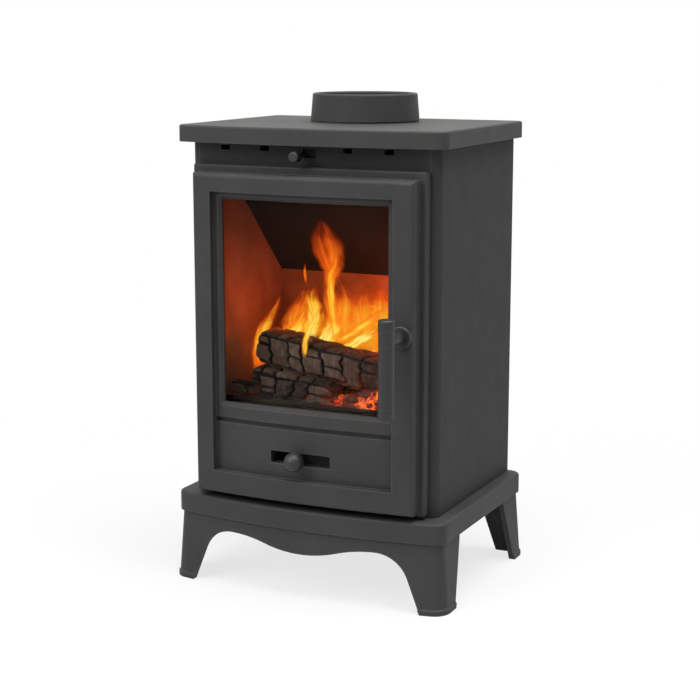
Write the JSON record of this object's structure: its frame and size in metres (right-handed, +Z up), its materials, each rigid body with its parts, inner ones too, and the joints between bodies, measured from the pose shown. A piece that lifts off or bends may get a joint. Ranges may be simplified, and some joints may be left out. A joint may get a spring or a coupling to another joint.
{
  "type": "multi-fuel stove",
  "caption": "Free-standing multi-fuel stove on splayed legs, with a bowed glazed side-hinged door, turning handle, sliding air controls, brick-lined firebox and top flue collar.",
  "frame": {"origin": "centre of the footprint box on the floor, under the feet", "axes": "+Z up, -Y out of the door, +X to the right seen from the front"},
  "size_m": [0.399, 0.368, 0.65],
  "materials": {
    "stove_paint_cast": "matte",
    "stove_paint_sheet": "matte",
    "bare_iron": "matte",
    "stove_paint_fittings": "satin",
    "dark_fasteners": "satin",
    "fire_brick": "matte",
    "stove_glass": "gloss",
    "fibre_seal": "matte",
    "charred_wood": "matte"
  },
  "bodies": {
    "stove_body": {"base_plate": "stove_paint_cast", "front_legs_apron": "stove_paint_cast", "rear_left_leg": "stove_paint_cast", "rear_right_leg": "stove_paint_cast", "leg_bolts": "dark_fasteners", "left_side_panel": "stove_paint_sheet", "right_side_panel": "stove_paint_sheet", "front_frame": "stove_paint_sheet", "rear_panel": "stove_paint_sheet", "rear_blanking_plate": "stove_paint_cast", "blanking_plate_bolts": "dark_fasteners", "rear_heat_shield": "stove_paint_sheet", "heat_shield_spacers": "dark_fasteners", "heat_shield_screws": "dark_fasteners", "top_plate": "stove_paint_cast", "flue_collar": "stove_paint_cast", "collar_gasket": "fibre_seal", "collar_bolts": "dark_fasteners", "tie_rods": "dark_fasteners", "tie_rod_nuts": "dark_fasteners", "left_fire_board": "fire_brick", "right_fire_board": "fire_brick", "rear_fire_board": "fire_brick", "baffle": "bare_iron", "left_grate_ledge": "bare_iron", "right_grate_ledge": "bare_iron", "grate": "bare_iron", "fuel_retainer": "bare_iron", "lower_log": "charred_wood", "rear_log": "charred_wood", "upper_log": "charred_wood", "small_log": "charred_wood", "ember_bed": "charred_wood", "ash_pan": "bare_iron", "ash_pan_runners": "bare_iron", "airwash_deflector": "bare_iron", "airwash_guides": "dark_fasteners", "lower_hinge_bracket": "stove_paint_cast", "upper_hinge_bracket": "stove_paint_cast", "hinge_pins": "dark_fasteners", "latch_keeper": "dark_fasteners", "keeper_screws": "dark_fasteners"},
    "airwash": {"airwash_slide": "bare_iron", "airwash_rod": "stove_paint_fittings", "airwash_knob": "stove_paint_fittings"},
    "door": {"door_frame": "stove_paint_cast", "door_glass": "stove_glass", "glass_gasket": "fibre_seal", "glass_clips": "dark_fasteners", "glass_clip_screws": "dark_fasteners", "door_rope": "fibre_seal", "handle_escutcheon": "stove_paint_fittings", "air_slide_guides": "dark_fasteners"},
    "handle": {"handle_grip": "stove_paint_fittings", "handle_end_caps": "stove_paint_fittings", "handle_spindle": "stove_paint_fittings", "latch_tongue": "dark_fasteners", "latch_nut": "dark_fasteners"},
    "primary_air": {"primary_air_slide": "bare_iron", "primary_air_knob": "stove_paint_fittings"}
  },
  "joints": [
    {"name": "door_swing", "type": "hinge", "parent": "stove_body", "child": "door", "pos_m": [-0.16, -0.09955, 0.35], "axis": [0, 0, -1], "range_deg": [0, 110]},
    {"name": "handle_turn", "type": "hinge", "parent": "door", "child": "handle", "pos_m": [0.1415, -0.12, 0.359], "axis": [0, -1, 0], "range_deg": [0, 80]},
    {"name": "primary_air_travel", "type": "slide", "parent": "door", "child": "primary_air", "axis": [1, 0, 0], "range_m": [-0.03, 0.03]},
    {"name": "airwash_travel", "type": "slide", "parent": "stove_body", "child": "airwash", "axis": [1, 0, 0], "range_m": [0, 0.0125]}
  ]
}
